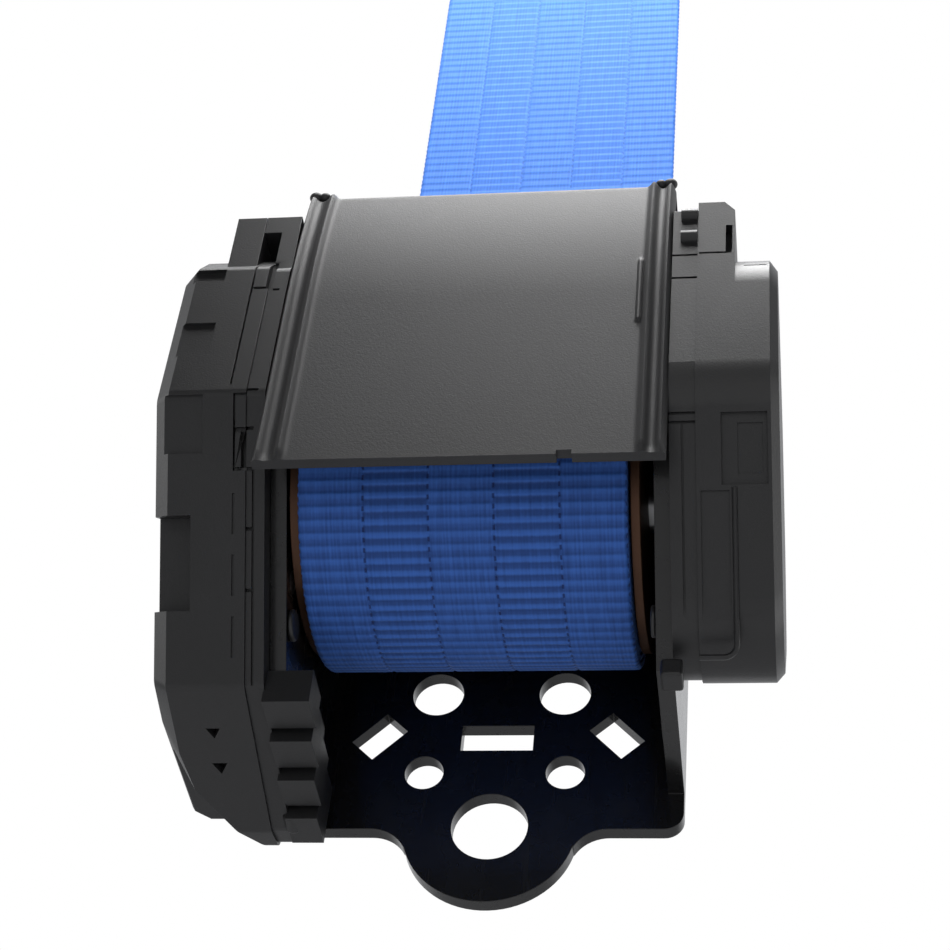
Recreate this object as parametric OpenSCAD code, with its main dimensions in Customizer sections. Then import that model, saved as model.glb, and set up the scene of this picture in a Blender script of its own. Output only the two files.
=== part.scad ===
// Emergency locking webbing retractor: a reel of wide webbing in a steel frame.
// +X right, +Y towards the wall it is bolted to, +Z up along the webbing.
// The origin is the centre of the anchor bolt hole, on the front face of the back plate.

/* [Webbing] */
// Width of the webbing
web_w = 48; // [40:0.5:60]
// Thickness of the webbing
web_t = 1.2; // [0.9:0.1:1.5]
// Outer radius of the wound webbing
roll_r = 25; // [24.5:0.5:32]
// Length of single webbing between the guide and the stitched loop
free_l = 126; // [60:2:300]
// How far the free webbing sits to the right in its guide
web_shift = 1.2; // [0:0.1:1.2]

/* [Frame] */
// Thickness of the frame's steel
steel_t = 2.5; // [2:0.1:3.2]
// Room between the webbing's edge and each cheek
side_room = 3; // [2.8:0.1:6]
// Height of the frame above the wound webbing
top_room = 13; // [12:0.5:20]
// Room between the wound webbing and the back plate
back_room = 2.5; // [2:0.1:6]
// Radius of the anchor bolt hole
anchor_r = 5.9; // [5:0.1:7]
// Width of the steel ring around the anchor hole
tab_ring = 7.5; // [6:0.1:10]

/* [Reel] */
// Height of the spool axis above the anchor hole
spool_z = 40; // [39:0.5:60]
// How far the wound webbing sits to the left of the middle
roll_shift = 0.8; // [0:0.1:1]
// Radius of the torsion bar
shaft_r = 4; // [3.5:0.1:5]
// Number of teeth on the ratchet wheel
ratchet_teeth = 12; // [10:1:14]
// Thickness of the ratchet wheel
ratchet_t = 3.5; // [2.5:0.1:5]
// Width of the clock spring's strip
spring_w = 7.6; // [6:0.1:12]

/* [Housings] */
// Room between the wound webbing and the housings' front face
front_room = 5.5; // [5:0.1:10]
// Room between the torsion bar's left end and the sensor housing
sensor_room = 2.3; // [1.9:0.1:6]
// Room between the torsion bar's right end and the spring housing
spring_end_room = 0.7; // [0.5:0.1:6]
// Wall thickness of the plastic shells
wall = 1.8; // [1.5:0.1:2.2]
// How far the webbing cover stands above the frame
cover_rise = 7; // [6:0.5:12]
// How far the webbing cover reaches below the spool axis
cover_drop = 17.5; // [8:0.5:22]

/* [End fitting] */
// Radius of the bolt hole in the end plate
end_hole_r = 5.6; // [5:0.1:7]
// Thickness of the end plate
end_t = 2.5; // [2:0.1:3]

/* [Hidden] */
$fn = 64;
fit = 0.1;              // radial clearance of a pin or shaft in its bore
gap = 0.4;              // running clearance between moving pieces
inner = web_w / 2 + side_room;  // inner face of a cheek
half = inner + steel_t;         // outer face of a cheek
spool_y = roll_r + back_room;
axis = [-spool_y, spool_z];
front = spool_y + roll_r + front_room;  // the housings' front face, from the back plate
frame_h = spool_z + roll_r + top_room;
tab_r = anchor_r + tab_ring;
cover_top = frame_h + cover_rise;

// Widths along X, measured outwards from the cheek
base_t = 2.8;                          // thickness of a housing's base plate
flange_t = 1;                          // thickness of a bushing's flange
drum_half = (web_w + 0.8) / 2;         // inner face of a spool flange from the spool's middle
drum_flange_t = 1.4;
sensor_seam = -half - base_t;          // plane where the sensor cover meets its base
spring_seam = half + base_t + 1;       // plane where the spring cover meets its base
ratchet_x = sensor_seam - flange_t - gap;
ring_t = 3.2;
ring_x = ratchet_x - ratchet_t - 0.8;  // inner face of the lock ring
bar_left = ring_x - ring_t - 1.2;      // left end of the torsion bar
sensor_x = bar_left - sensor_room - wall;               // outer face of the sensor housing
arbor_x = half + base_t + flange_t - 0.6;
bar_right = arbor_x + 1 + spring_w + 1.4;               // right end of the torsion bar
spring_x = bar_right + spring_end_room + wall;          // outer face of the spring housing
bush_r = shaft_r + 2.5;                // radius of a bushing in its cheek
rim_r = bush_r + 2;                    // radius of a bushing's flange

// Outlines of the housings, as [y, z] seen from the side
toe = axis + [-4.5, -roll_r - 13];     // corner between the sloped front and the underside
slope = 4 / 3;                         // rise of the sloped lower front
brow_z = toe[1] + slope * (front + toe[0]);
sensor_outline = [[1, toe[1] - 5.5], [-5, toe[1] - 6.5], toe, [-front, brow_z], [-front, frame_h - 14],
                  [-front + 4, frame_h - 8], [-10, frame_h - 5], [1, frame_h - 14]];
heel = toe + 0.9 * [1, -slope];        // lowest corner of the spring housing, on the same slope
spring_outline = [heel, [-front, brow_z], [-front, frame_h - 9], [-14, frame_h - 9], [1, frame_h - 24],
                  [1, heel[1] + 1 - heel[0]]];
sensor_round = 2;                      // corner radius of each outline
spring_round = 12;
cheek_low = toe[1] + 4;
cheek_toe = toe[0] + 2;
cheek_front = -front + 6.5;            // the cheeks' front edge, where the cover's ribs seat
cheek_outline = [[0, cheek_low], [cheek_toe, cheek_low],
                 [cheek_front, cheek_low + slope * (cheek_toe - cheek_front)],
                 [cheek_front, frame_h - 8], [cheek_front + 5.5, frame_h], [0, frame_h]];
slope_out = [-0.8, -0.6];              // unit normal of the sloped lower front

// Locking parts, in the spool's plane
ratchet_r = 16;
ratchet_root = 13;
pawl_reach = 22;                       // pawl pivot from the spool axis
pawl_angle = -110;
pawl_swing = 13;
tip_angle = -152;
pawl_at = axis + pawl_reach * [cos(pawl_angle), sin(pawl_angle)];
pin_r = 1.8;
ring_r = 18;
ring_root = 16;
ring_teeth = 24;
lever_at = axis + [3, -22];
lever_pin_r = 1;
ball_r = 3.6;
ball_at = [ring_x - ring_t / 2, axis[0] + 11.5, axis[1] - 27.4];
cup_wall_angle = 30;

// Webbing path
guide_z = frame_h;                     // height where the webbing turns upright
web_y = -11;                           // middle of the upright webbing
guide_low = frame_h - 5;
guide_top = frame_h + 3;
slot_l = web_w + 3;
feed_r = roll_r + web_t / 2 + 0.1;     // radius on which the webbing leaves the roll
to_guide = [web_y, guide_z] - axis;
leave_angle = atan2(to_guide[1], to_guide[0]) - acos(feed_r / norm(to_guide));
leave_at = axis + feed_r * [cos(leave_angle), sin(leave_angle)];
loop_z = guide_top + free_l;           // lower end of the stitched part
stitch_l = 30;
bar_h = 4.5;                           // height of the end plate's bar
bar_z = loop_z + stitch_l + 4;         // middle of that bar
loop_r = 2.9;                          // inner radius of the webbing loop round the bar
end_w = web_w + 16;

// Extrudes a [y, z] shape along X from x0 to x1
module along_x(x0, x1) {
    translate([min(x0, x1), 0, 0])
        rotate([90, 0, 90])
            linear_extrude(abs(x1 - x0))
                children();
}

// Cylinder along X about the point at = [y, z]
module rod(r, x0, x1, at) {
    translate([min(x0, x1), at[0], at[1]])
        rotate([0, 90, 0])
            cylinder(r = r, h = abs(x1 - x0));
}

// Cylinder along Y through the point [x, z], from y0 to y1
module bore_y(r, x, z, y0, y1) {
    translate([x, y1, z])
        rotate([90, 0, 0])
            cylinder(r = r, h = y1 - y0);
}

// Straight-walled outline with its corners rounded and its edge moved in by inset
module rounded(outline, inset, r) {
    offset(r = r, $fn = 32)
        offset(delta = -inset - r)
            polygon(outline);
}

// Toothed disc: each tooth rises slowly and ends in a radial face that looks along the turn
module saw_teeth(n, r_tip, r_root, phase) {
    step = 360 / n;
    polygon([for (k = [0 : n - 1], e = [0, 1])
        let (a = phase + (k + e) * step - e * 0.6)
        (e == 0 ? r_root : r_tip) * [cos(a), sin(a)]]);
}

// Round wire wound as a coil along X
module coil(r, wire, x0, length, turns, at) {
    sides = 8;
    per_turn = 14;
    rings = round(turns * per_turn);
    points = [for (i = [0 : rings], s = [0 : sides - 1])
        let (a = 360 * i / per_turn, b = 360 * s / sides, rr = r + wire * cos(b))
        [x0 + length * i / rings + wire * sin(b), at[0] + rr * cos(a), at[1] + rr * sin(a)]];
    faces = concat(
        [[for (s = [0 : sides - 1]) s]],
        [for (i = [0 : rings - 1], s = [0 : sides - 1])
            let (a = i * sides, b = (i + 1) * sides, next = (s + 1) % sides)
            [a + s, b + s, b + next, a + next]],
        [[for (s = [sides - 1 : -1 : 0]) rings * sides + s]]);
    polyhedron(points, faces);
}

// ---- frame -------------------------------------------------------------

// Outline of the back plate with its anchor tab, as [x, z]
module plate_outline() {
    low = -0.5;
    corner = 3;
    blend = 6;      // radius of the concave run into the tab
    reach = sqrt(pow(tab_r + blend, 2) - pow(low - blend, 2));
    touch = atan2(low - blend, reach) + 3;      // just before the two curves touch
    translate([-half, low + corner])
        square([2 * half, frame_h - low - corner]);
    translate([-half + corner, low])
        square([2 * (half - corner), corner + 1]);
    for (s = [-1, 1])
        translate([s * (half - corner), low + corner])
            circle(corner);
    circle(tab_r);
    difference() {
        polygon([[-reach, low + 0.5], [reach, low + 0.5], [reach, low],
                 0.99 * tab_r * [cos(touch), sin(touch)],
                 0.99 * tab_r * [-cos(touch), sin(touch)], [-reach, low]]);
        for (s = [-1, 1])
            translate([s * reach, low - blend])
                circle(blend);
    }
}

module frame_bracket() {
    color([0.03, 0.03, 0.035])
    difference() {
        union() {
            translate([0, steel_t, 0])
                rotate([90, 0, 0])
                    linear_extrude(steel_t)
                        plate_outline();
            for (s = [-1, 1])
                along_x(s * inner, s * half)
                    union() {
                        polygon(cheek_outline);
                        translate([0, cheek_low])
                            square([steel_t, frame_h - cheek_low]);
                    }
        }
        bore_y(anchor_r, 0, 0, -1, steel_t + 1);
        for (s = [-1, 1]) {
            bore_y(4.1, s * 10.2, 25.3, -1, steel_t + 1);
            bore_y(3.05, s * 11.05, 10, -1, steel_t + 1);
            translate([s * 18.8, steel_t / 2, 17])
                rotate([0, s * 46.5, 0])
                    cube([7.5, steel_t + 2, 4.9], center = true);
        }
        translate([0, steel_t / 2, 16.6])
            cube([11.4, steel_t + 2, 4.7], center = true);
        rod(bush_r + fit, -half - 1, half + 1, axis);
        rod(pin_r, -half - 1, -inner + 1, pawl_at);
        for (s = [-1, 1], p = rivet_places)
            rod(rivet_r, s * (inner - 1), s * (half + 1), p);
        rod(tie_end_r, -half - 1, half + 1, tie_at);
    }
}

rivet_head_r = 2.6;     // radius of the rivets' heads inside the sensor housing
rivet_places = [[cheek_front + 6.5, frame_h - 7.6 - wall - rivet_head_r], [-8, frame_h - 16],
                [toe[0], cheek_low + 7.5]];
tie_at = [cheek_front + 11.5, frame_h - 6];
tie_end_r = 2;          // radius of the tie bar's riveted ends

module tie_bar() {
    color([0.55, 0.56, 0.58]) {
        rod(tie_end_r, -half - 0.6, half + 0.6, tie_at);
        rod(tie_end_r + 1, -inner, inner, tie_at);
    }
}

module bushing(side, seam) {
    difference() {
        union() {
            rod(bush_r, side * inner, side * seam, axis);
            rod(rim_r, side * seam, side * (seam + flange_t), axis);
        }
        rod(shaft_r + fit, side * (inner - 1), side * (seam + 2), axis);
    }
}

module bushing_left() {
    color([0.85, 0.84, 0.78])
        bushing(-1, -sensor_seam);
}

module bushing_right() {
    color([0.85, 0.84, 0.78])
        bushing(1, half + base_t - 1);
}

// ---- webbing cover and guide -------------------------------------------

// The cover's front sheet in profile: upright below, leaning back above
cover_low = spool_z - cover_drop;
lean_z = spool_z + 16;  // where the sheet starts to lean back
lean = 3;           // how far the top edge leans back
lean_r = (pow(cover_top - lean_z, 2) + pow(lean, 2)) / (2 * lean);
function lean_point(z, in) =
    let (a = asin((z - lean_z) / lean_r), r = lean_r - in)
    [-front + lean_r - r * cos(a), lean_z + r * sin(a)];

module cover_profile() {
    steps = 8;
    rise = cover_top - lean_z;
    polygon(concat(
        [[-front + wall, cover_low], [-front, cover_low]],
        [for (i = [0 : steps]) lean_point(lean_z + rise * i / steps, 0)],
        [for (i = [steps : -1 : 0]) lean_point(lean_z + rise * i / steps, wall)]));
    translate([-front + lean, cover_top - wall])
        square([front - lean + web_y - 7, wall]);
    translate([-front + lean - 0.9, cover_top - 1.2])
        square([3, 1.8]);
}

rivet_r = 1.5;
cover_rivet = [20, web_y - 10.5];
rib_low = spool_z + 4;  // lower end of the ribs that seat on the cheeks

module webbing_cover() {
    color([0.17, 0.17, 0.18])
    difference() {
        union() {
            along_x(-half, half)
                cover_profile();
            for (s = [-1, 1]) {
                // raised bead down each side of the sheet
                x = s * (half - 4);
                along_x(x - 0.7, x + 0.7)
                    translate([-front - 0.7, cover_low + 1])
                        square([1.5, lean_z - cover_low]);
                // rib that seats on the front edge of the cheek
                along_x(s * inner, s * half)
                    translate([-front + wall - 0.2, rib_low])
                        square([cheek_front + front - wall + 0.2, frame_h - 8 - rib_low]);
                // rolled knob at the top corner
                rod(1.3, s * (half - 2.5), s * half, [-front + lean, cover_top]);
            }
        }
        for (s = [-1, 1])
            translate([s * cover_rivet[0], cover_rivet[1], cover_top - wall - 1])
                cylinder(r = rivet_r, h = 10);
    }
}

module webbing_guide() {
    color([0.05, 0.05, 0.055])
    difference() {
        union() {
            translate([-inner, web_y - 8, guide_low])
                cube([2 * inner, -web_y + 8, frame_h - guide_low]);
            translate([-slot_l / 2 - 1, web_y - 7, frame_h - 1])
                cube([slot_l + 2, 14, guide_top - frame_h + 1]);
            // ledge under the cover's top
            translate([-inner, web_y - 14, guide_low])
                cube([2 * inner, 7, cover_top - wall - guide_low]);
        }
        for (s = [-1, 1])
            translate([s * cover_rivet[0], cover_rivet[1], guide_low - 1])
                cylinder(r = rivet_r, h = 20);
        translate([-slot_l / 2, web_y - 3, guide_low - 1])
            cube([slot_l, 6.4, guide_top - guide_low + 2]);
    }
}

// ---- sensor housing, left ----------------------------------------------

// Solid of an outline whose outer edge is bevelled by b, between the planes x0 and x1
module bevelled(outline, inset, x0, x1, b, r) {
    s = sign(x1 - x0);
    hull() {
        along_x(x0, x1 - s * b)
            rounded(outline, inset, r);
        along_x(x0, x1)
            rounded(outline, inset + b, r);
    }
}

notch_s = [2.5, 16.5];      // finger notch, measured along the slope from the spool's level
notch_d = 5;                // depth of the notch, square to the slope

// Box on the sloped lower front: s0..s1 along the slope, n0..n1 out from the spool axis
module slope_box(x0, x1, s0, s1, n0, n1) {
    along_x(x0, x1)
        translate(axis)
            rotate(atan2(slope_out[1], slope_out[0]))
                translate([n0, s0])
                    square([n1 - n0, s1 - s0]);
}
slope_n = (toe - axis) * slope_out;     // distance of the sloped front from the spool axis

// Outer lower corner that the sensor housing lacks: a bevel under its side, and its back corner
module corner_room(in) {
    bevel_tilt = 53.7;                  // tilt of the bevel's plane about Y
    back_turn = -32.8;                  // turn of the back corner's plane about Z
    translate([sensor_x, toe[0] - 12, toe[1] + 0.5])
        rotate([0, bevel_tilt, 0])
            translate([-10, 0, -20 + in])
                cube([30, 60, 20]);
    translate([sensor_x + 2.9, toe[0] + 17.7, toe[1] - 20])
        rotate([0, 0, back_turn])
            translate([-20 + in, -4, 0])
                cube([20, 30, 20 + in]);
}

block_top = frame_h - 1;                // top of the block beside the webbing cover
block_seam = sensor_seam - 2.9;         // the seam inside that block
block_w = 4.7;                          // width of the cover's half of the block
block_l = 11;                           // the block's length from front to back

module sensor_housing_cover() {
    edge = 2.5;
    color([0.075, 0.077, 0.085])
    difference() {
        union() {
            bevelled(sensor_outline, 0, sensor_seam, sensor_x, edge, sensor_round);
            translate([block_seam - block_w, -front + 1, block_top - 15])
                cube([block_w, block_l, 15]);
        }
        difference() {
            bevelled(sensor_outline, wall, sensor_seam + 1, sensor_x + wall, edge, sensor_round);
            slope_box(sensor_x - 1, sensor_x + 6 + wall, notch_s[0] - wall, notch_s[1] + wall,
                      slope_n - notch_d - wall, slope_n + 5);
            corner_room(wall);
        }
        slope_box(sensor_x - 1, sensor_x + 6, notch_s[0], notch_s[1], slope_n - notch_d, slope_n + 5);
        corner_room(0);
        // shallow rectangular window and square recess on the front
        translate([sensor_x + 1.4, -front - 1, frame_h - 16.8])
            cube([5.6, 1.7, 2.6]);
        translate([sensor_x + 1.2, -front - 1, frame_h - 33.3])
            cube([6, 1.5, 7]);
    }
}

module sensor_housing_base() {
    clip = (-toe[0] - 1.1 - 3 * 1.2 - 1.7) / 4;   // length of one clip block
    color([0.06, 0.062, 0.07])
    difference() {
        union() {
            along_x(sensor_seam, -half)
                union() {
                    rounded(sensor_outline, 0.4, sensor_round);
                    translate([-front + 1, block_top - 17])
                        square([block_l, 17]);
                }
            // inner half of the upper block
            translate([block_seam + 0.1, -front + 1, block_top - 3.7])
                cube([sensor_seam - block_seam, block_l, 3.7]);
            // stepped clip blocks that pass under the cheek to the back plate
            for (k = [0 : 3])
                translate([-half - 0.2, toe[0] + 1 + (clip + 1.2) * k, toe[1] - 1.8 - 1.5 * k])
                    cube([7 - 0.7 * k, clip, cheek_low - toe[1] + 1.7 + 1.5 * k]);
            translate([-half - 0.2, toe[0] + 1, toe[1] + 0.5])
                cube([4.5, -toe[0] - 1.1, cheek_low - toe[1] - 0.6]);
        }
        rod(bush_r + fit, sensor_seam - 1, -half + 1, axis);
        rod(pin_r + fit, sensor_seam - 1, -half + 1, pawl_at);
        for (p = rivet_places)
            rod(rivet_r, sensor_seam - 1, -half + 1, p);
        rod(tie_end_r + 1.2, -half - 1.2, -half + 1, tie_at);
    }
}

// ---- spring housing, right ---------------------------------------------

spring_room = roll_r - 1.5;             // radius of the room for the clock spring

module spring_housing_base() {
    strip_top = frame_h - 2;
    color([0.06, 0.062, 0.07])
    difference() {
        union() {
            along_x(half, spring_seam)
                union() {
                    rounded(spring_outline, 0.4, spring_round);
                    // tall strip beside the webbing cover
                    polygon([[-front + 0.4, brow_z + 4], [-front + 0.4, strip_top - 2],
                             [-front + 2, strip_top],
                             [-front + 14, strip_top], [-20, frame_h - 18], [-20, brow_z + 4]]);
                }
            // locating pegs at its top
            for (down = [3, 8])
                rod(1.2, spring_seam - 2.6, spring_seam - 0.1, [-front + 0.6, strip_top - down]);
        }
        rod(spring_room, half + base_t - 1, spring_seam + 1, axis);
        rod(bush_r + fit, half - 1, spring_seam + 1, axis);
        for (p = rivet_places)
            rod(rivet_r, half - 1, spring_seam + 1, p);
        rod(tie_end_r + 1.2, half - 1, half + 1.2, tie_at);
    }
}

module spring_housing_cover() {
    edge = 1.2;
    ear_w = 5.6;
    recess_s = [-10.8, -0.4];           // along the slope from the spool's level
    ear_top = frame_h - 2.5;
    ear_low = frame_h - 23;
    color([0.07, 0.072, 0.078])
    difference() {
        union() {
            difference() {
                bevelled(spring_outline, 0, spring_seam, spring_x, edge, spring_round);
                bevelled(spring_outline, wall, spring_seam - 1, spring_x - wall, edge, spring_round - wall);
            }
            rod(spring_room + 1.5, spring_seam, spring_x - wall + 0.2, axis);
            // ear above the drum
            hull() {
                along_x(spring_seam, spring_seam + ear_w)
                    polygon([[-front, ear_low], [-front, ear_top - 2], [-front + 14, ear_top - 2],
                             [-front + 20, ear_low]]);
                along_x(spring_seam, spring_seam + ear_w - 1.6)
                    polygon([[-front, ear_low], [-front, ear_top], [-front + 14, ear_top],
                             [-front + 20, ear_low]]);
            }
        }
        rod(spring_room, spring_seam - 1, spring_x - wall, axis);
        // slot in the ear
        translate([spring_seam + ear_w - 1.4, -front - 1, ear_top - 11.5])
            cube([1, 3, 6]);
        // recess at the top of the sloped front
        slope_box(spring_x - 8.3, spring_x - 1.7, recess_s[0], recess_s[1], slope_n - 0.8, slope_n + 1);
    }
}

// Blind rivets that hold both housings to the cheeks, headed inside the housings
module housing_push_rivets() {
    head_t = 0.8;
    color([0.12, 0.12, 0.13])
    for (p = rivet_places) {
        rod(rivet_r, -inner, sensor_seam, p);
        rod(rivet_head_r, sensor_seam, sensor_seam - head_t, p);
        rod(2.4, -inner, -inner + head_t, p);
        rod(rivet_r, inner, spring_seam, p);
        rod(2.4, inner, inner - head_t, p);
    }
}

// Rivets that hold the cover's top to the guide
module cover_push_rivets() {
    color([0.1, 0.1, 0.11])
    for (s = [-1, 1])
        translate([s * cover_rivet[0], cover_rivet[1], guide_low]) {
            cylinder(r = rivet_r, h = cover_top - guide_low);
            translate([0, 0, cover_top - guide_low])
                cylinder(r = 2.6, h = 0.8);
        }
}

// ---- clock spring -------------------------------------------------------

spring_turns = 8;
spring_in = bush_r + 0.1;
spring_out = spring_room - 0.7;
strip = 0.5;
function spiral(t, r_add) =
    let (r = spring_in + (spring_out - spring_in) * t + r_add, a = 360 * spring_turns * t)
    axis + r * [cos(a), sin(a)];

module clock_spring() {
    steps = spring_turns * 24;
    color([0.36, 0.38, 0.42])
    along_x(arbor_x + 1, arbor_x + 1 + spring_w)
        polygon(concat([for (i = [0 : steps]) spiral(i / steps, 0)],
                       [for (i = [steps : -1 : 0]) spiral(i / steps, strip)]));
}

// ---- spool ---------------------------------------------------------------

pin_hold_r = 1.5;       // the pin that holds the webbing's inner end
pin_hold_at = axis + [0, shaft_r + fit + 0.8 + pin_hold_r];
core_r = shaft_r + fit + 0.8 + 2 * pin_hold_r + 1.6;

module spool_drum() {
    left = -roll_shift - drum_half;
    right = -roll_shift + drum_half;
    color([0.14, 0.09, 0.06])
    difference() {
        union() {
            rod(core_r, left, right, axis);
            rod(roll_r - 2.5, left - drum_flange_t, left, axis);
            rod(roll_r - 2.5, right, right + drum_flange_t, axis);
        }
        rod(shaft_r + fit, left - 5, right + 5, axis);
        rod(pin_hold_r, left - 5, right + 5, pin_hold_at);
    }
}

module webbing_pin() {
    color([0.6, 0.61, 0.63])
        rod(pin_hold_r - 0.05, -roll_shift - drum_half, -roll_shift + drum_half, pin_hold_at);
}

module webbing_roll() {
    color([0.05, 0.17, 0.62])
    difference() {
        rod(roll_r, -roll_shift - web_w / 2, -roll_shift + web_w / 2, axis);
        rod(core_r, -roll_shift - web_w, -roll_shift + web_w, axis);
    }
}

module torsion_bar() {
    color([0.6, 0.61, 0.63])
    difference() {
        rod(shaft_r, bar_left, bar_right, axis);
        along_x(bar_left + 0.3, bar_left + 0.9)
            difference() {
                translate(axis) circle(shaft_r + 1);
                translate(axis) circle(shaft_r - 0.6);
            }
    }
}

module retaining_ring() {
    color([0.2, 0.2, 0.21])
    along_x(bar_left + 0.3, bar_left + 0.9)
        translate(axis)
            difference() {
                circle(shaft_r + 1.6);
                circle(shaft_r - 0.5);
                translate([0, -shaft_r])
                    square([3, 2 * shaft_r], center = true);
            }
}

lag_r = 10;      // radius on which the lag spring lies
post_angle = 60;
post_r = 1.2;
window_end = 122; // the lag spring presses on this end of the lock ring's window

module ratchet_wheel() {
    color([0.5, 0.51, 0.53])
    difference() {
        union() {
            along_x(ratchet_x - ratchet_t, ratchet_x)
                translate(axis)
                    saw_teeth(ratchet_teeth, ratchet_r, ratchet_root, tip_angle - 4);
            rod(post_r, ratchet_x - 1, ring_x - ring_t + 0.4,
                axis + lag_r * [cos(post_angle), sin(post_angle)]);
        }
        rod(shaft_r + fit, ratchet_x - 10, ratchet_x + 1, axis);
    }
}

module lock_ring() {
    window_start = post_angle - asin(post_r / lag_r) - 2;
    color([0.82, 0.8, 0.72])
    along_x(ring_x - ring_t, ring_x)
        translate(axis)
            difference() {
                saw_teeth(ring_teeth, ring_r, ring_root, -51);
                circle(shaft_r + fit);
                // window for the post and the lag spring
                intersection() {
                    difference() {
                        circle(lag_r + 2);
                        circle(lag_r - 2);
                    }
                    polygon([[0, 0], 30 * [cos(window_start), sin(window_start)], [0, 40],
                             30 * [cos(window_end), sin(window_end)]]);
                }
            }
}

// Small coil between the post and the end of the window
module lag_spring() {
    level = lag_r - 0.7;
    start = level / tan(window_end) + 0.2;
    end = lag_r * cos(post_angle) - post_r - 0.2;
    color([0.7, 0.7, 0.7])
    translate([ring_x - ring_t / 2, axis[0] + start, axis[1] + level])
        rotate([0, 0, 90])
            coil(0.95, 0.22, 0.22, end - start - 0.44, 6, [0, 0]);
}

module spring_arbor() {
    color([0.8, 0.78, 0.7])
    difference() {
        union() {
            rod(spring_in - gap, arbor_x, arbor_x + 1 + spring_w, axis);
            rod(spring_in + 1, arbor_x, arbor_x + 0.8, axis);
        }
        rod(shaft_r + fit, arbor_x - 1, spring_x, axis);
    }
}

// ---- pawl ---------------------------------------------------------------

// Tip and heel of the pawl in the engaged position, from its pivot
pawl_tip = axis + 13.5 * [cos(tip_angle), sin(tip_angle)] - pawl_at;
pawl_heel = axis + 15 * [cos(tip_angle + 9), sin(tip_angle + 9)] - pawl_at;

module lock_pawl() {
    color([0.45, 0.45, 0.47])
    difference() {
        union() {
            rod(3.2, ratchet_x - 0.3, ratchet_x - ratchet_t + 0.3, pawl_at);
            along_x(ratchet_x - 0.3, ratchet_x - ratchet_t + 0.3)
                translate(pawl_at)
                    rotate(pawl_swing)
                        polygon([pawl_tip, pawl_heel, [2.6, 2.4], [0, -0.5], [-2.7, 0.8],
                                 pawl_tip + [-1.6, -2.6]]);
        }
        rod(pin_r + fit, ratchet_x - 9, ratchet_x + 1, pawl_at);
    }
}

pawl_pin_end = ratchet_x - ratchet_t - 1.4;

module pawl_pin() {
    color([0.6, 0.61, 0.63])
    rod(pin_r, pawl_pin_end, -inner, pawl_at);
}

module pawl_spring() {
    color([0.7, 0.7, 0.7])
    coil(pin_r + 0.5, 0.25, pawl_pin_end + 0.3, 1.2, 2.5, pawl_at);
}

// ---- vehicle sensor ------------------------------------------------------

module ball_cup() {
    cup_r = 4.9;
    seat_z = ball_at[2] - ball_r * cos(cup_wall_angle) - 0.05;
    contact = ball_r * sin(cup_wall_angle);
    cone_h = 4;
    tip_z = seat_z - contact * tan(cup_wall_angle);
    color([0.75, 0.74, 0.68])
    difference() {
        union() {
            translate([ball_at[0], ball_at[1], tip_z - 2])
                cylinder(r = cup_r, h = 5.2);
            translate([sensor_seam - 2.3, axis[0] + 0.5, axis[1] - 36])
                cube([2.3, 17, 16.5]);
            translate([ball_at[0], ball_at[1] - 3, tip_z - 2])
                cube([sensor_seam - ball_at[0], 6, 3]);
            rod(lever_pin_r, sensor_seam - 1, ring_x - ring_t - 0.3, lever_at);
        }
        translate([ball_at[0], ball_at[1], tip_z])
            cylinder(r1 = 0, r2 = cone_h / tan(cup_wall_angle), h = cone_h);
        // room for the ball beside the bracket
        translate(ball_at)
            cylinder(r = ball_r + 1.6, h = 7, center = true);
    }
}

module sensor_ball() {
    color([0.75, 0.76, 0.78])
        translate(ball_at)
            sphere(ball_r);
}

module sensor_lever() {
    tip = axis + (ring_r + 0.6) * [cos(-48), sin(-48)] - lever_at;
    color([0.8, 0.8, 0.76])
    difference() {
        along_x(ring_x - 0.2, ring_x - ring_t + 0.2)
            translate(lever_at)
                union() {
                    circle(2);
                    translate([0, -0.9])
                        square([12.5, 1.6]);
                    polygon([[7.6, 0], [12, 0], tip + [0.5, 0], tip + [-0.5, 0]]);
                }
        rod(lever_pin_r + fit, ring_x - 9, ring_x + 9, lever_at);
    }
}

// ---- webbing -------------------------------------------------------------

// Webbing from the roll, along the guide's slot, to just above the guide
module webbing_feed() {
    lead = [web_y, guide_z] - leave_at;
    side = [lead[1], -lead[0]] / norm(lead) * web_t / 2;
    color([0.1, 0.3, 0.8])
    along_x(web_shift - web_w / 2, web_shift + web_w / 2)
        polygon([leave_at - side, [web_y - web_t / 2, guide_z], [web_y - web_t / 2, guide_top],
                 [web_y + web_t / 2, guide_top], [web_y + web_t / 2, guide_z], leave_at + side]);
}

module webbing_run() {
    color([0.12, 0.36, 0.9])
    translate([web_shift - web_w / 2, web_y - web_t / 2, guide_top])
        cube([web_w, web_t, free_l]);
}

module end_loop() {
    color([0.12, 0.36, 0.9])
    along_x(web_shift - web_w / 2, web_shift + web_w / 2)
        difference() {
            union() {
                translate([web_y, bar_z])
                    circle(loop_r + web_t);
                translate([web_y - web_t, loop_z])
                    square([2 * web_t, bar_z - loop_z - loop_r + 0.5]);
            }
            translate([web_y, bar_z])
                circle(loop_r);
        }
}

module end_plate() {
    slot_h = 7;
    hole_z = bar_z + 24;
    corner = 6;
    top_r = end_hole_r + 7.4;
    color([0.62, 0.63, 0.65])
    difference() {
        translate([web_shift, web_y + end_t / 2, 0])
            rotate([90, 0, 0])
                linear_extrude(end_t)
                    hull() {
                        for (s = [-1, 1]) {
                            translate([s * (end_w / 2 - 2.2), bar_z - bar_h / 2 + 2.2])
                                circle(2.2, $fn = 32);
                            translate([s * (end_w / 2 - corner), bar_z + 12])
                                circle(corner, $fn = 32);
                        }
                        translate([0, hole_z])
                            circle(top_r, $fn = 48);
                    }
        translate([web_shift - slot_l / 2, web_y - 5, bar_z + bar_h / 2])
            cube([slot_l, 10, slot_h]);
        bore_y(end_hole_r, web_shift, hole_z, web_y - 5, web_y + 5);
    }
}

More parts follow.
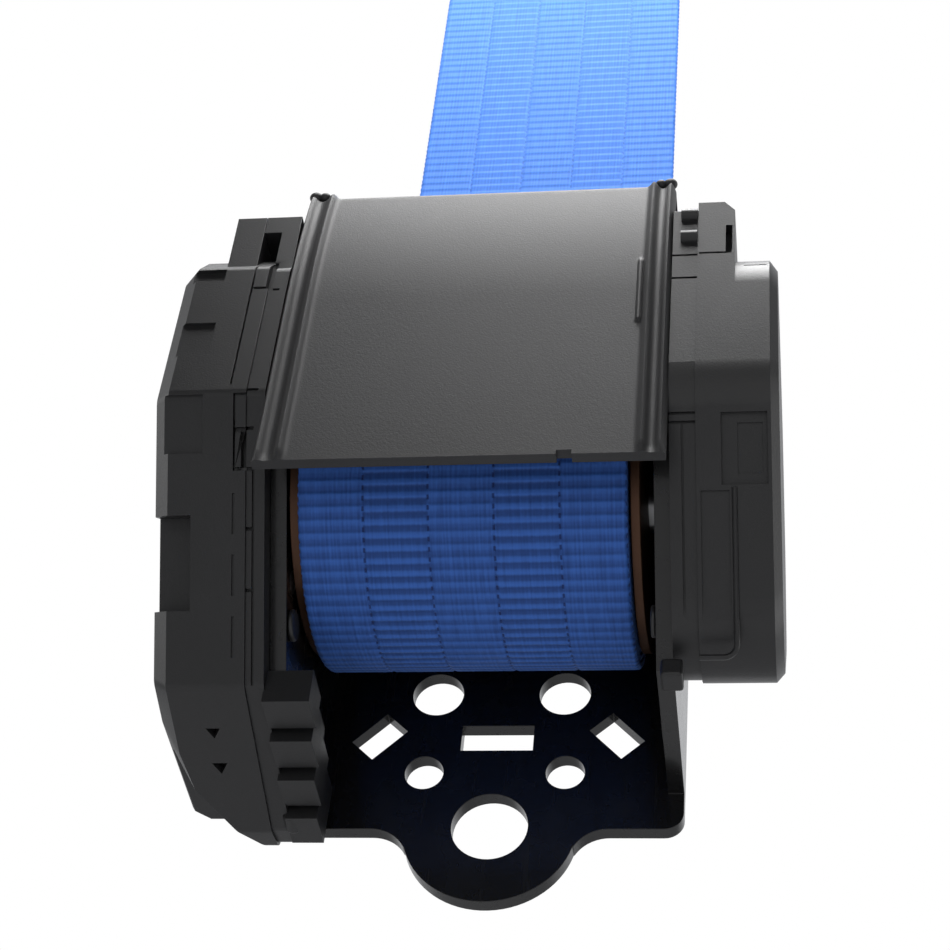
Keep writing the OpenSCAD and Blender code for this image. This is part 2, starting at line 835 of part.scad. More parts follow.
frame_bracket();
tie_bar();
webbing_cover();
webbing_guide();
bushing_left();
bushing_right();
sensor_housing_base();
sensor_housing_cover();
spring_housing_base();
spring_housing_cover();
housing_push_rivets();
cover_push_rivets();
clock_spring();
ball_cup();
pawl_pin();
pawl_spring();
spool_drum();
torsion_bar();
ratchet_wheel();
webbing_roll();
webbing_pin();
spring_arbor();
retaining_ring();
lag_spring();
lock_ring();
lock_pawl();
sensor_ball();
sensor_lever();
webbing_feed();
webbing_run();
end_loop();
end_plate();
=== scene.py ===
import math
import random

import bmesh
import bpy
from mathutils import Matrix, Vector


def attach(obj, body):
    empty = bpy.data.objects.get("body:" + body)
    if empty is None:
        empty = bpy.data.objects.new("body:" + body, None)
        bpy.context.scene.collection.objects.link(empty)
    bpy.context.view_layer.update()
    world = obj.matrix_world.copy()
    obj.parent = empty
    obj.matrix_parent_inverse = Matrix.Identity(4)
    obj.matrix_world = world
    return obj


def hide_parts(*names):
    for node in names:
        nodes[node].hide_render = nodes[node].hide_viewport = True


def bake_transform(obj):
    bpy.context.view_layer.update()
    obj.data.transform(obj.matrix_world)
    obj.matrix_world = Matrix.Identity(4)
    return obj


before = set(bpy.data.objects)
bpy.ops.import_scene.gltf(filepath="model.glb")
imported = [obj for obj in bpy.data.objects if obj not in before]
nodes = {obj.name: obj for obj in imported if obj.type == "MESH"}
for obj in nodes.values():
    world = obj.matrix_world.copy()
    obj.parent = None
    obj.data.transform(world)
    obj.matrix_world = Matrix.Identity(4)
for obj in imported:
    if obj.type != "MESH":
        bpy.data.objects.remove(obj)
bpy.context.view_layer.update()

# ---- Studio ---------------------------------------------------------------
# The reel hangs on its anchor bolt before a plain white backdrop, with a pale
# floor far below. Soft light comes from above and behind, so that the upper
# faces are grey and the lower front is nearly black.
camera = bpy.data.objects.new("Camera", bpy.data.cameras.new("Camera"))
camera.data.lens = 86.0
camera.data.sensor_width = 36
camera.data.clip_start = 0.01
view_right = Vector((0.9896, 0.1180, 0.0821)).normalized()
view_ahead = Vector((-0.1429, 0.7195, 0.6796)).normalized()
view_up = view_right.cross(view_ahead)
turn = Matrix((view_right, view_up, -view_ahead)).transposed().to_4x4()
camera.matrix_world = Matrix.Translation((0.04817, -0.28520, -0.19584)) @ turn
bpy.context.scene.collection.objects.link(camera)
bpy.context.scene.camera = camera
bpy.context.scene.view_settings.view_transform = "Standard"


class Socket:
    """One value in a node tree. Arithmetic adds Math nodes, and node() adds any other kind."""

    def __init__(self, tree, plug=None):
        self.tree, self.plug = tree, plug

    def feed(self, plug, value):
        if isinstance(value, Socket):
            self.tree.links.new(value.plug, plug)
        else:
            plug.default_value = value

    def node(self, kind, settings=None, values=None, out=0):
        made = self.tree.nodes.new("ShaderNode" + kind)
        for name, value in (settings or {}).items():
            if name == "stops":
                stops = made.color_ramp.elements
                stops.remove(stops[1])
                stops[0].position, stops[0].color = value[0][0], (*value[0][1], 1)
                for at, colour in value[1:]:
                    stops.new(at).color = (*colour, 1)
            else:
                setattr(made, name, value)
        for name, value in (values or {}).items():
            self.feed(made.inputs[name], value)
        return Socket(self.tree, made.outputs[out])

    def maths(self, operation, first, second=0.0):
        return self.node("Math", {"operation": operation}, {0: first, 1: second})

    def __add__(self, other):
        return self.maths("ADD", self, other)

    __radd__ = __add__

    def __sub__(self, other):
        return self.maths("SUBTRACT", self, other)

    def __rsub__(self, other):
        return self.maths("SUBTRACT", other, self)

    def __mul__(self, other):
        return self.maths("MULTIPLY", self, other)

    __rmul__ = __mul__

    def __pow__(self, other):
        return self.maths("POWER", self, other)

    def sine(self):
        return self.maths("SINE", self)

    def over(self, low, high):
        """0 where this value is under low, 1 over high, and smooth between them."""
        return self.node("MapRange", {"interpolation_type": "SMOOTHSTEP"}, {0: self, 1: low, 2: high})

    def mix(self, first, second):
        """One colour turning into another as this value goes from 0 to 1."""
        first, second = [c if isinstance(c, Socket) else (*c, 1) for c in (first, second)]
        return self.node("Mix", {"data_type": "RGBA"}, {0: self, 6: first, 7: second}, out=2)


sky = bpy.data.worlds.new("Studio")
sky.use_nodes = True
bpy.context.scene.world = sky
air = Socket(sky.node_tree)
facing = air.node("TexCoord", out="Generated")
height = air.node("VectorMath", {"operation": "DOT_PRODUCT"}, {0: facing, 1: (0, 0.72, 0.69)}, out="Value")
glow = height.over(0.05, 1.0).mix((0.012, 0.012, 0.014), (0.85, 0.86, 0.88))
seen = air.node("LightPath", out="Is Camera Ray")
backdrop = sky.node_tree.nodes["Background"]
air.feed(backdrop.inputs["Color"], seen.mix(glow, (1, 1, 1)))
backdrop.inputs["Strength"].default_value = 1.0

for name, place, size, power in (
    ("Key", (0.01, -0.115, 0.36), 0.20, 1.6),
    ("Fill", (0.05, -0.80, 0.05), 0.60, 1.0),
    ("Left", (-0.62, -0.05, 0.22), 0.40, 0.8),
    ("Right", (0.62, 0.08, 0.16), 0.40, 1.3),
):
    lamp = bpy.data.objects.new(name, bpy.data.lights.new(name, "AREA"))
    lamp.data.size, lamp.data.energy = size, power
    lamp.location = place
    lamp.rotation_euler = (Vector((0, -0.03, 0.05)) - Vector(place)).to_track_quat("-Z", "Y").to_euler()
    bpy.context.scene.collection.objects.link(lamp)

floor_z, floor_half = -0.36, 6.0
floor_mesh = bpy.data.meshes.new("Floor")
floor_mesh.from_pydata([(x, y, floor_z) for x, y in ((-floor_half, -floor_half), (floor_half, -floor_half),
                                                     (floor_half, floor_half), (-floor_half, floor_half))],
                       [], [(0, 1, 2, 3)])
floor = bpy.data.objects.new("Floor", floor_mesh)
bpy.context.scene.collection.objects.link(floor)
paper = bpy.data.materials.new("Pale paper")
paper.use_nodes = True
sheet = paper.node_tree.nodes["Principled BSDF"]
paper_look = Socket(paper.node_tree)
mottle = paper_look.node("TexNoise", values={"Scale": 3.0}, out="Fac")
paper_look.feed(sheet.inputs["Base Color"], mottle.mix((0.74, 0.74, 0.75), (0.80, 0.80, 0.80)))
sheet.inputs["Roughness"].default_value = 0.9
floor_mesh.materials.append(paper)


# ---- Frame ----------------------------------------------------------------
# A pressed U of 2.5 mm steel: back plate, anchor tab and two cheeks bent
# forward. It is punched flat, folded, deburred and then coated in gloss black,
# which pools a little at the edges and shows fine handling scratches.
def paint(name, **constants):
    """A new material, its shader, and a first socket of its tree, with the shader's constants set."""
    made = bpy.data.materials.new(name)
    made.use_nodes = True
    shader = made.node_tree.nodes["Principled BSDF"]
    for socket, value in constants.items():
        shader.inputs[socket.replace("_", " ")].default_value = value
    return made, shader, Socket(made.node_tree)


def coarse(tone, scale, detail=2.0, stretch=(1, 1, 1)):
    """Noise in the reel's own frame. scale is in lumps a metre."""
    spot = tone.node("TexCoord", out="Object")
    spot = tone.node("VectorMath", {"operation": "MULTIPLY"}, {0: spot, 1: stretch})
    return tone.node("TexNoise", values={"Vector": spot, "Scale": scale, "Detail": detail}, out="Fac")


def relief(tone, shader, height, depth):
    """Raises the surface by height, which runs from 0 to 1, times depth in metres."""
    bump = tone.node("Bump", values={"Height": height, "Distance": depth, "Strength": 1.0})
    tone.feed(shader.inputs["Normal"], bump)


def finish_piece(piece, body, material, replaced=(), sharp=32):
    """Shades a piece, gives it its material, parents it to its body's empty and hides the nodes it stands in for."""
    piece.data.materials.clear()
    piece.data.materials.append(material)
    piece.data.shade_smooth()
    piece.data.set_sharp_from_angle(angle=math.radians(sharp))
    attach(piece, body)
    if replaced:
        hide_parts(*replaced)
    return piece


def new_piece(name, shape):
    """An object from a bmesh drawn in millimetres."""
    mesh = bpy.data.meshes.new(name)
    shape.to_mesh(mesh)
    shape.free()
    mesh.transform(Matrix.Scale(0.001, 4))
    piece = bpy.data.objects.new(name, mesh)
    bpy.context.scene.collection.objects.link(piece)
    return piece


def traced(name, node):
    """A copy of a node's solid as clean faces, ready to be carved and rounded."""
    shape = bmesh.new()
    shape.from_mesh(nodes[node].data)
    bmesh.ops.scale(shape, vec=(1000, 1000, 1000), verts=shape.verts)
    bmesh.ops.remove_doubles(shape, verts=shape.verts, dist=0.002)
    bmesh.ops.dissolve_limit(shape, angle_limit=math.radians(0.6), verts=shape.verts, edges=shape.edges)
    return new_piece(name, shape)


def rounded(piece, width, steps=2, angle=28):
    """Rounds the sharp edges by width millimetres."""
    bevel = piece.modifiers.new("Rounded edges", "BEVEL")
    bevel.width = width * 0.001
    bevel.segments = steps
    bevel.limit_method = "ANGLE"
    bevel.angle_limit = math.radians(angle)
    even = piece.modifiers.new("Even shading", "WEIGHTED_NORMAL")
    even.keep_sharp = True


black_paint, coat, tone = paint("Black coated steel", Coat_Roughness=0.10, IOR=1.45)
haze = coarse(tone, 160, 3.0)
scratch = coarse(tone, 900, 2.0, (1, 1, 0.06)).over(0.64, 0.70)
tone.feed(coat.inputs["Base Color"], haze.mix((0.0022, 0.0022, 0.0024), (0.005, 0.005, 0.0052)))
tone.feed(coat.inputs["Roughness"], 0.22 + 0.10 * haze + 0.06 * scratch)
tone.feed(coat.inputs["Coat Weight"], 0.25 - 0.08 * scratch)
relief(tone, coat, coarse(tone, 1400, 1.0), 0.000012)
bracket = traced("Frame", "frame_bracket")
finish_piece(bracket, "root", black_paint, ["frame_bracket"])
rounded(bracket, 0.45, 3)


# ---- Bright pins and springs ----------------------------------------------
# The tie bar, torsion bar, pawl, ratchet, pins and ball are turned, stamped or
# hardened steel left bright with a film of oil. The springs are blued strip
# and wire. Fine turning marks run round them.
def bright(name, light, dark, rough):
    made, shader, tone = paint(name, Metallic=1.0)
    marks = coarse(tone, 300, 4.0, (14, 1, 1))
    tone.feed(shader.inputs["Base Color"], marks.mix(dark, light))
    tone.feed(shader.inputs["Roughness"], rough + 0.18 * marks)
    relief(tone, shader, marks, 0.00002)
    return made


steel = bright("Bright steel", (0.62, 0.62, 0.63), (0.40, 0.40, 0.41), 0.22)
blued = bright("Blued spring steel", (0.30, 0.31, 0.36), (0.14, 0.15, 0.20), 0.26)
for node in ("tie_bar", "pawl_pin", "torsion_bar", "ratchet_wheel", "webbing_pin", "lock_pawl", "sensor_ball"):
    nodes[node].data.materials.clear()
    nodes[node].data.materials.append(steel)
for node in ("clock_spring", "pawl_spring", "lag_spring", "retaining_ring"):
    nodes[node].data.materials.clear()
    nodes[node].data.materials.append(blued)


# ---- Bushings, lock ring and sensor ---------------------------------------
# The running parts inside the housings are injection-moulded in undyed acetal.
# It is slightly waxy, cream white and darkened by grease near the spool.
acetal, wax, tone = paint("Undyed acetal", Subsurface_Weight=0.15, Roughness=0.4)
grease = coarse(tone, 220, 3.0)
tone.feed(wax.inputs["Base Color"], grease.mix((0.66, 0.63, 0.52), (0.80, 0.78, 0.70)))
tone.feed(wax.inputs["Roughness"], 0.30 + 0.25 * grease)
for node in ("bushing_left", "bushing_right", "ball_cup", "spring_arbor", "lock_ring", "sensor_lever"):
    nodes[node].data.materials.clear()
    nodes[node].data.materials.append(acetal)


# ---- Spool ----------------------------------------------------------------
# The drum and its two flanges are one diecast body with a copper-brown
# passivated skin, seen as a warm edge on both sides of the wound webbing.
copper, skin, tone = paint("Passivated diecast", Metallic=0.75)
patch = coarse(tone, 140, 4.0)
tone.feed(skin.inputs["Base Color"], patch.mix((0.055, 0.026, 0.015), (0.11, 0.055, 0.032)))
tone.feed(skin.inputs["Roughness"], 0.32 + 0.25 * patch)
relief(tone, skin, coarse(tone, 1500, 2.0), 0.00003)
drum = traced("Spool", "spool_drum")
finish_piece(drum, "spool", copper, ["spool_drum"])
rounded(drum, 0.3, 2)


# ---- Wound webbing --------------------------------------------------------
# About 1.4 m of polyester belt webbing wound on the drum. It is woven in five
# lengthwise panels with a binder thread between them, and its selvedges are
# looped, so the ends of the roll show one scalloped edge for each turn.
web_w, web_t = 48.0, 1.2
panels = 5
roll_r, roll_shift = 25.0, -0.8
spool_y, spool_z = -27.5, 40.0
pick = 0.98          # one weft pick, along the webbing
selvedge = 1.3       # one loop of the selvedge, along the webbing


def web_columns():
    """Places across the webbing from 0 to 1, close together at the binders and the selvedges."""
    places = {0.0, 0.004, 0.010, 0.018, 0.982, 0.990, 0.996, 1.0}
    for k in range(1, panels):
        places |= {k / panels + d for d in (-0.011, -0.005, 0.0, 0.005, 0.011)}
    places |= {(k + 0.5 + d) / panels for k in range(panels) for d in (-0.28, -0.14, 0, 0.14, 0.28)}
    return sorted(places)


def web_relief(across, along):
    """How far the weave stands above the webbing's middle surface, in millimetres."""
    ribs = 0.05 * math.sin(2 * math.pi * along / (2 * pick))
    binder = min(abs(across * panels - round(across * panels)) / 0.05, 1.0)
    if round(across * panels) in (0, panels):
        binder = 1.0
    edge = min(across, 1 - across) * web_w
    return ribs * binder - 0.16 * (1 - binder) - 0.45 * max(0.0, 1 - edge / 0.5) ** 2


def web_edge(across, along):
    """The selvedge's loops: how far a point moves outwards, in millimetres."""
    loop = 0.16 * abs(math.sin(math.pi * along / selvedge))
    side = -1 if across < 0.5 else 1
    return side * loop * max(0.0, 1 - min(across, 1 - across) * web_w / 1.0)


def grid_faces(shape, rows, wrap, weave):
    """Joins rows of vertices by faces, and records across and along for the weave's material."""
    count = len(rows)
    for i in range(count if wrap else count - 1):
        here, there = rows[i], rows[(i + 1) % count]
        for j in range(len(here) - 1):
            face = shape.faces.new([here[j][0], here[j + 1][0], there[j + 1][0], there[j][0]])
            ahead = rows[i + 1][0][2] if i + 1 < count else here[0][2] + (here[0][2] - rows[i - 1][0][2])
            for loop, u, v in zip(face.loops, (here[j][1], here[j + 1][1], here[j + 1][1], here[j][1]),
                                  (here[j][2], here[j][2], ahead, ahead)):
                loop[weave].uv = (u, v)


def woven(name, shaded_valley, lit_crest, binder, ribs, depth):
    """Webbing yarn: its colours in the weave's valleys, painted darker as shade, and on its crests, painted lighter
    as light; its binders; and how ribbed it is.
    """
    made, yarn, tone = paint(name, Sheen_Weight=0.2, Sheen_Roughness=0.45, Sheen_Tint=(0.35, 0.55, 1.0, 1),
                             Specular_IOR_Level=0.3)
    spot = tone.node("UVMap", {"uv_map": "weave"})
    across = tone.node("SeparateXYZ", values={0: spot}, out="X")
    along = tone.node("SeparateXYZ", values={0: spot}, out="Y")
    panel = tone.maths("FLOOR", across * panels)
    within = across * panels - panel
    odd = tone.maths("MODULO", panel, 2.0)
    cord = (along * (math.pi / pick)).sine().over(-0.75, 0.9)
    picks = (along * (2 * math.pi / pick) + odd * math.pi).sine() * 0.5 + 0.5
    warp = (across * (2 * math.pi * 78)).sine() * 0.5 + 0.5
    stretch = tone.node("VectorMath", {"operation": "MULTIPLY"}, {0: spot, 1: (48, 1, 1)})
    fuzz = tone.node("TexNoise", values={"Vector": stretch, "Scale": 1.6, "Detail": 3.0}, out="Fac")
    stretch = tone.node("VectorMath", {"operation": "MULTIPLY"}, {0: spot, 1: (120, 0.10, 1)})
    streak = tone.node("TexNoise", values={"Vector": stretch, "Scale": 1.0, "Detail": 3.0}, out="Fac")
    ridged = ribs * (0.55 + 0.45 * odd)
    gap = tone.maths("ABSOLUTE", within - 0.5).over(0.474, 0.494)
    dash = (along * (2 * math.pi / 1.55)).sine().over(-0.2, 0.5)
    seam = gap * dash * binder
    # The colour follows the weave's ribs, picks and warp, with painted shade in the valleys and painted light on the
    # crests, plus random streaks and fuzz in the yarn's own tone.
    relief_shade_and_streaks = 0.5 + ridged * (cord - 0.55) + 0.12 * (picks - 0.5) + 0.10 * (warp - 0.5) \
        + 0.9 * (streak - 0.5) + 0.25 * (fuzz - 0.5)
    tone.feed(yarn.inputs["Base Color"], seam.mix(relief_shade_and_streaks.over(-0.1, 1.1).mix(shaded_valley, lit_crest), (0.005, 0.016, 0.10)))
    tone.feed(yarn.inputs["Roughness"], 0.60 + 0.2 * fuzz)
    relief(tone, yarn, ridged * cord + 0.22 * picks + 0.22 * warp + 0.3 * streak + 0.15 * fuzz - seam, depth)
    return made


# The strap and the roll wear two copies of one webbing. The strap's copy has its colours painted lighter, as painted
# light, and the roll's copy has them painted darker with stronger ribs, as painted shade under the cover.
webbing_painted_lit = woven("Blue woven webbing", (0.034, 0.165, 0.66), (0.060, 0.265, 0.93), 0.22, 0.16, 0.00005)
webbing_painted_shaded = woven("Blue wound webbing", (0.013, 0.052, 0.22), (0.040, 0.140, 0.52), 0.8, 0.75, 0.00013)

shape = bmesh.new()
weave = shape.loops.layers.uv.new("weave")
steps = 330
columns = web_columns()
girth = 2 * math.pi * roll_r
rows = []
for i in range(steps):
    a = 2 * math.pi * i / steps
    s = girth * i / steps
    row = []
    for c in columns:
        r = roll_r - 0.10 + web_relief(c, s)
        x = roll_shift + (c - 0.5) * web_w + web_edge(c, s)
        row.append((shape.verts.new((x, spool_y + r * math.cos(a), spool_z + r * math.sin(a))), c, s))
    rows.append(row)
grid_faces(shape, rows, True, weave)
# the roll's ends, one shallow step for each turn of webbing
turns = [roll_r - 0.55 - web_t * k - d for k in range(12) for d in (0.0, 0.50, 0.62)]
turns = [r for r in turns if r > 10.2] + [9.6]
for side, column in ((-1, 0), (1, -1)):
    previous = [row[column][0] for row in rows]
    for k, r in enumerate(turns):
        sunk = 0.45 if k % 3 == 2 else 0.0
        ring = []
        for i in range(steps):
            a = 2 * math.pi * i / steps
            wave = 0.12 * abs(math.sin(math.pi * girth * i / steps / selvedge + k))
            x = roll_shift + side * (web_w / 2 - sunk + wave - 0.05)
            ring.append(shape.verts.new((x, spool_y + r * math.cos(a), spool_z + r * math.sin(a))))
        for i in range(steps):
            j = (i + 1) % steps
            face = shape.faces.new([previous[i], previous[j], ring[j], ring[i]])
            for loop in face.loops:
                loop[weave].uv = (0.03 if side < 0 else 0.97, girth * i / steps)
        previous = ring
    if side < 0:
        first_bore = previous
for i in range(steps):
    j = (i + 1) % steps
    shape.faces.new([first_bore[i], first_bore[j], previous[j], previous[i]])
bmesh.ops.recalc_face_normals(shape, faces=shape.faces)
roll = new_piece("Wound_webbing", shape)
finish_piece(roll, "spool", webbing_painted_shaded, ["webbing_roll"], sharp=60)


# ---- Strap ----------------------------------------------------------------
# The same webbing leaves the roll at its back, turns upright in the guide and
# runs up to the end plate, where it loops round the plate's bar. Its tail is
# doubled back on itself and sewn.
strap_x = 1.2
web_y, guide_z, loop_z, bar_z = -11.0, 78.0, 207.0, 241.0
leave_r = roll_r + web_t / 2 + 0.1
to_guide = Vector((web_y - spool_y, guide_z - spool_z))
leave_a = math.atan2(to_guide.y, to_guide.x) - math.acos(leave_r / to_guide.length)
wrap_r = leave_r - 0.05
route = [Vector((spool_y + wrap_r * math.cos(leave_a - t), spool_z + wrap_r * math.sin(leave_a - t)))
         for t in (0.30, 0.20, 0.10, 0.0)]
start_up = route[-1].lerp(Vector((web_y, guide_z)), 0.9)
bend = [start_up, Vector((web_y - 0.05, guide_z - 0.2)), Vector((web_y, guide_z + 2.4))]
sewn, loop_r = 0.62, 3.55
climb = [Vector((web_y, loop_z - 6)), Vector((web_y - sewn, loop_z + 2)), Vector((web_y - sewn, bar_z - 7.5)),
         Vector((web_y - 1.25, bar_z - 4.6)), Vector((web_y - 2.75, bar_z - 2.3))]
over = [Vector((web_y + loop_r * math.cos(a), bar_z + loop_r * math.sin(a)))
        for a in [math.radians(180 - 20 * k) for k in range(10)]]
back = [Vector((2 * web_y - v.x, v.y)) for v in reversed(climb[1:])]
route += bend + climb + over + back


def even_route(points, step):
    """The points joined by a smooth curve and cut to even steps."""
    fine = []
    for k in range(len(points) - 1):
        a, b = points[k], points[k + 1]
        before = points[k - 1] if k else a + (a - b)
        after = points[k + 2] if k + 2 < len(points) else b + (b - a)
        tangent_a = (b - before) * ((b - a).length / max((b - before).length, 1e-6))
        tangent_b = (after - a) * ((b - a).length / max((after - a).length, 1e-6))
        for n in range(24):
            t = n / 24
            fine.append(a * (2 * t ** 3 - 3 * t ** 2 + 1) + tangent_a * (t ** 3 - 2 * t ** 2 + t)
                        + b * (3 * t ** 2 - 2 * t ** 3) + tangent_b * (t ** 3 - t ** 2))
    fine.append(points[-1])
    lengths = [0.0]
    for a, b in zip(fine, fine[1:]):
        lengths.append(lengths[-1] + (b - a).length)
    count = int(lengths[-1] / step)
    even, k = [], 0
    for n in range(count + 1):
        s = lengths[-1] * n / count
        while k < len(fine) - 2 and lengths[k + 1] < s:
            k += 1
        even.append(fine[k].lerp(fine[k + 1], (s - lengths[k]) / max(lengths[k + 1] - lengths[k], 1e-9)))
    return even, lengths[-1]


line, strap_length = even_route(route, 0.49)
shape = bmesh.new()
weave = shape.loops.layers.uv.new("weave")
normals = []
for i in range(len(line)):
    d = (line[min(i + 1, len(line) - 1)] - line[max(i - 1, 0)]).normalized()
    normals.append(Vector((-d.y, d.x)))
sides = []
for side in (1, -1):
    rows = []
    for i, (at, normal) in enumerate(zip(line, normals)):
        s = strap_length * i / (len(line) - 1)
        row = []
        for c in columns:
            thick = side * (web_t / 2 - 0.05 + web_relief(c, s))
            v = at + normal * thick
            x = strap_x + (c - 0.5) * web_w + web_edge(c, s)
            row.append((shape.verts.new((x, v.x, v.y)), c, s))
        rows.append(row)
    grid_faces(shape, rows, False, weave)
    sides.append(rows)
front, rear = sides
for i in range(len(line) - 1):
    for j in (0, -1):
        face = shape.faces.new([front[i][j][0], front[i + 1][j][0], rear[i + 1][j][0], rear[i][j][0]])
        for loop in face.loops:
            loop[weave].uv = (front[i][j][1], front[i][j][2])
for i in (0, -1):
    for j in range(len(columns) - 1):
        shape.faces.new([front[i][j][0], front[i][j + 1][0], rear[i][j + 1][0], rear[i][j][0]])
bmesh.ops.recalc_face_normals(shape, faces=shape.faces)
strap = new_piece("Strap", shape)
strap.data.materials.append(webbing_painted_lit)
strap.data.shade_smooth()
strap.data.set_sharp_from_angle(angle=math.radians(60))
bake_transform(strap)
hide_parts("webbing_feed", "webbing_run", "end_loop")


# ---- Sewing ---------------------------------------------------------------
# The doubled tail is sewn with bonded navy thread in a four-point W between
# two cross rows, as on a belt's load-bearing end. Each stitch is a short ridge
# pressed into the webbing on both faces.
thread, cotton, tone = paint("Navy bonded thread", IOR=1.5)
ply = coarse(tone, 2600, 1.0, (1, 1, 3))
tone.feed(cotton.inputs["Base Color"], ply.mix((0.006, 0.012, 0.06), (0.015, 0.035, 0.15)))
tone.feed(cotton.inputs["Roughness"], 0.38 + 0.2 * ply)
sew_low, sew_high, sew_half = loop_z + 5, bar_z - 9.5, 20.5
corners = [(-sew_half, sew_high), (-sew_half / 2, sew_low), (0, sew_high), (sew_half / 2, sew_low),
           (sew_half, sew_high)]
runs = list(zip(corners, corners[1:]))
runs += [((-sew_half, sew_low - 1.6), (sew_half, sew_low - 1.6)), ((-sew_half, sew_high + 1.6),
                                                                   (sew_half, sew_high + 1.6))]
stitch, stitch_r = 2.6, 0.34
shape = bmesh.new()
for (x0, z0), (x1, z1) in runs:
    length = math.hypot(x1 - x0, z1 - z0)
    count = int(length / stitch)
    ux, uz = (x1 - x0) / length, (z1 - z0) / length
    for k in range(count):
        for face_y in (web_y - 2 * sewn - 0.02, web_y + 2 * sewn + 0.02):
            rings = []
            for t in (-0.46, -0.40, -0.2, 0.0, 0.2, 0.40, 0.46):
                fat = stitch_r * math.sqrt(max(0.02, 1 - (t / 0.47) ** 2))
                m = length * (k + 0.5) / count + t * stitch
                rings.append([shape.verts.new((strap_x + x0 + ux * m - uz * fat * math.cos(b), face_y + 0.7 * fat *
                                               math.sin(b), z0 + uz * m + ux * fat * math.cos(b)))
                              for b in [math.pi * n / 4 for n in range(8)]])
            for a, b in zip(rings, rings[1:]):
                for n in range(8):
                    shape.faces.new([a[n], a[(n + 1) % 8], b[(n + 1) % 8], b[n]])
            shape.faces.new(rings[0][::-1])
            shape.faces.new(rings[-1])
bmesh.ops.recalc_face_normals(shape, faces=shape.faces)
sewing = new_piece("Sewing", shape)
finish_piece(sewing, "webbing_end", thread)
strap_length * 0.001


# ---- End plate ------------------------------------------------------------
# A stamped steel plate with a slot for the webbing and a bolt hole, its edges
# tumbled round so they don't cut the cloth, then zinc plated. The plating is
# slightly mottled.
zinc, plating, tone = paint("Zinc plate", Metallic=1.0)
bloom = coarse(tone, 420, 4.0)
tone.feed(plating.inputs["Base Color"], bloom.mix((0.50, 0.51, 0.53), (0.70, 0.70, 0.69)))
tone.feed(plating.inputs["Roughness"], 0.28 + 0.22 * bloom)
relief(tone, plating, coarse(tone, 1100, 3.0), 0.00002)
plate = traced("End_plate", "end_plate")
finish_piece(plate, "end_plate", zinc, ["end_plate"])
rounded(plate, 0.55, 3)


# ---- Guide ----------------------------------------------------------------
# The slotted guide on top of the frame is moulded in slippery black nylon. The
# webbing polishes the lips of its slot, and the rest keeps the mould's grain.
def moulded(name, dark, light, rough, grain, grain_depth, scuffs=0.68):
    """Grained plastic, with the tone and the scuffs that handling leaves."""
    made, shader, tone = paint(name, IOR=1.48)
    wash = coarse(tone, 45, 3.0)
    pits = coarse(tone, grain, 2.0)
    rub = coarse(tone, 420, 5.0, (1, 1, 0.25)).over(scuffs, scuffs + 0.12)
    tone.feed(shader.inputs["Base Color"], (0.75 * wash + 0.25 * pits + 0.3 * rub).mix(dark, light))
    tone.feed(shader.inputs["Roughness"], rough + 0.16 * pits - 0.12 * rub)
    relief(tone, shader, pits, grain_depth)
    return made


nylon = moulded("Black nylon", (0.010, 0.010, 0.011), (0.022, 0.022, 0.023), 0.34, 3600, 0.00002)
guide = traced("Webbing_guide", "webbing_guide")
finish_piece(guide, "root", nylon, ["webbing_guide"])
rounded(guide, 0.4, 3)


# ---- Webbing cover --------------------------------------------------------
# A curved shield of grained black polypropylene, moulded in one piece. It stands
# upright in front of the roll, leans back above and folds over the guide. A bead
# down each side stiffens it, and small rolled knobs finish its top corners.
half_w, cover_front, cover_low, lean_z, cover_top, lean_by = 29.5, -58.0, 22.5, 56.0, 85.0, 3.0
sheet_t, crown_r, cover_back = 1.8, 1.6, -18.0
lean_r = ((cover_top - lean_z) ** 2 + lean_by ** 2) / (2 * lean_by)
trail = [Vector((cover_front, cover_low + 0.5 * k)) for k in range(67)]
trail += [Vector((cover_front + lean_r - lean_r * math.cos(a), lean_z + lean_r * math.sin(a)))
          for a in [math.asin(z / lean_r) for z in [0.6 * k for k in range(1, 45)]]]
corner = trail[-1]
lean_a = math.asin((corner.y - lean_z) / lean_r)
centre = corner + Vector((math.cos(lean_a), -math.sin(lean_a))) * crown_r
trail += [centre + crown_r * Vector((-math.cos(a), math.sin(a)))
          for a in [lean_a + (math.pi / 2 - lean_a) * k / 8 for k in range(1, 9)]]
crown = trail[-1]
trail += [Vector((crown.x + (cover_back - crown.x) * k / 24, crown.y)) for k in range(1, 25)]


def cover_section(x, height):
    """How far the cover's face stands proud at x, in millimetres."""
    edge = half_w - abs(x)
    bead_at = 3.9 if x < 0 else 3.4
    bead = 0.85 * math.exp(-((edge - bead_at) / 0.62) ** 2)
    rim = 0.55 * math.exp(-((edge - 0.75) / 0.55) ** 2)
    dip = -0.35 * math.exp(-((edge - 2.1) / 0.8) ** 2)
    roll_off = -1.1 * max(0.0, 1 - edge / 0.8) ** 2
    rib = 0.0
    if x > 0:
        rib = 0.5 * math.exp(-((edge - 4.7) / 0.35) ** 4) * (1 if 49 < height < 63 else 0)
    return bead + rim + dip + roll_off + rib


